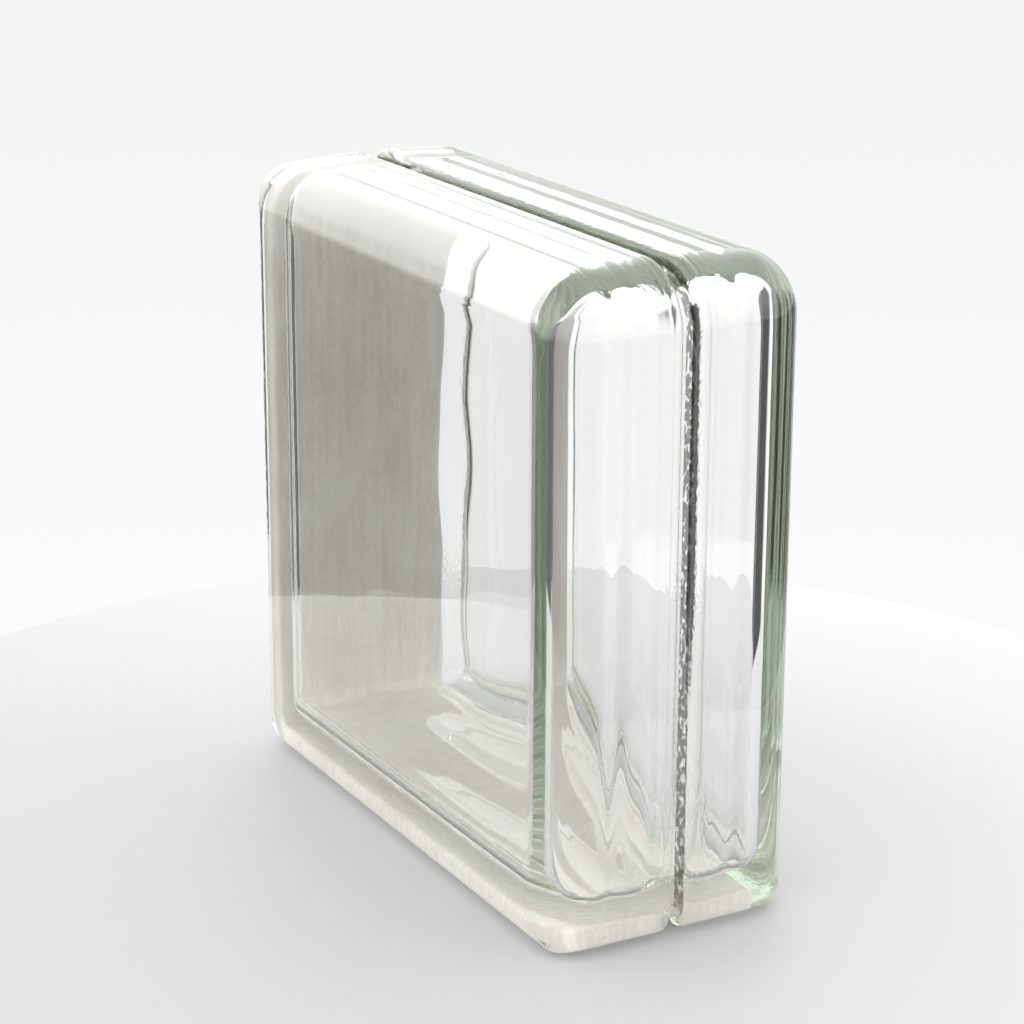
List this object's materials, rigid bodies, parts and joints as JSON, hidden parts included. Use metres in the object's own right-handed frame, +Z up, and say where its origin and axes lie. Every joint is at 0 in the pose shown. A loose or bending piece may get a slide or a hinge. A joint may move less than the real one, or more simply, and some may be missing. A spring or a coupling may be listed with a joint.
{
  "type": "glass block",
  "caption": "Hollow clear glass block with rounded finished top and end, and mortar channels along its base and other side.",
  "frame": {"origin": "middle of the base that the block stands on, in the plane of the seam between the two shells", "axes": "+X along the width towards the finished end, +Y through the thickness from the front face to the back face, +Z up towards the finished top"},
  "size_m": [0.19, 0.08, 0.19],
  "materials": {
    "clear_glass": "clear pressed soda-lime glass, smooth, faintly green through its edges"
  },
  "bodies": {
    "root": {"front_shell": "clear_glass", "back_shell": "clear_glass"}
  },
  "joints": []
}
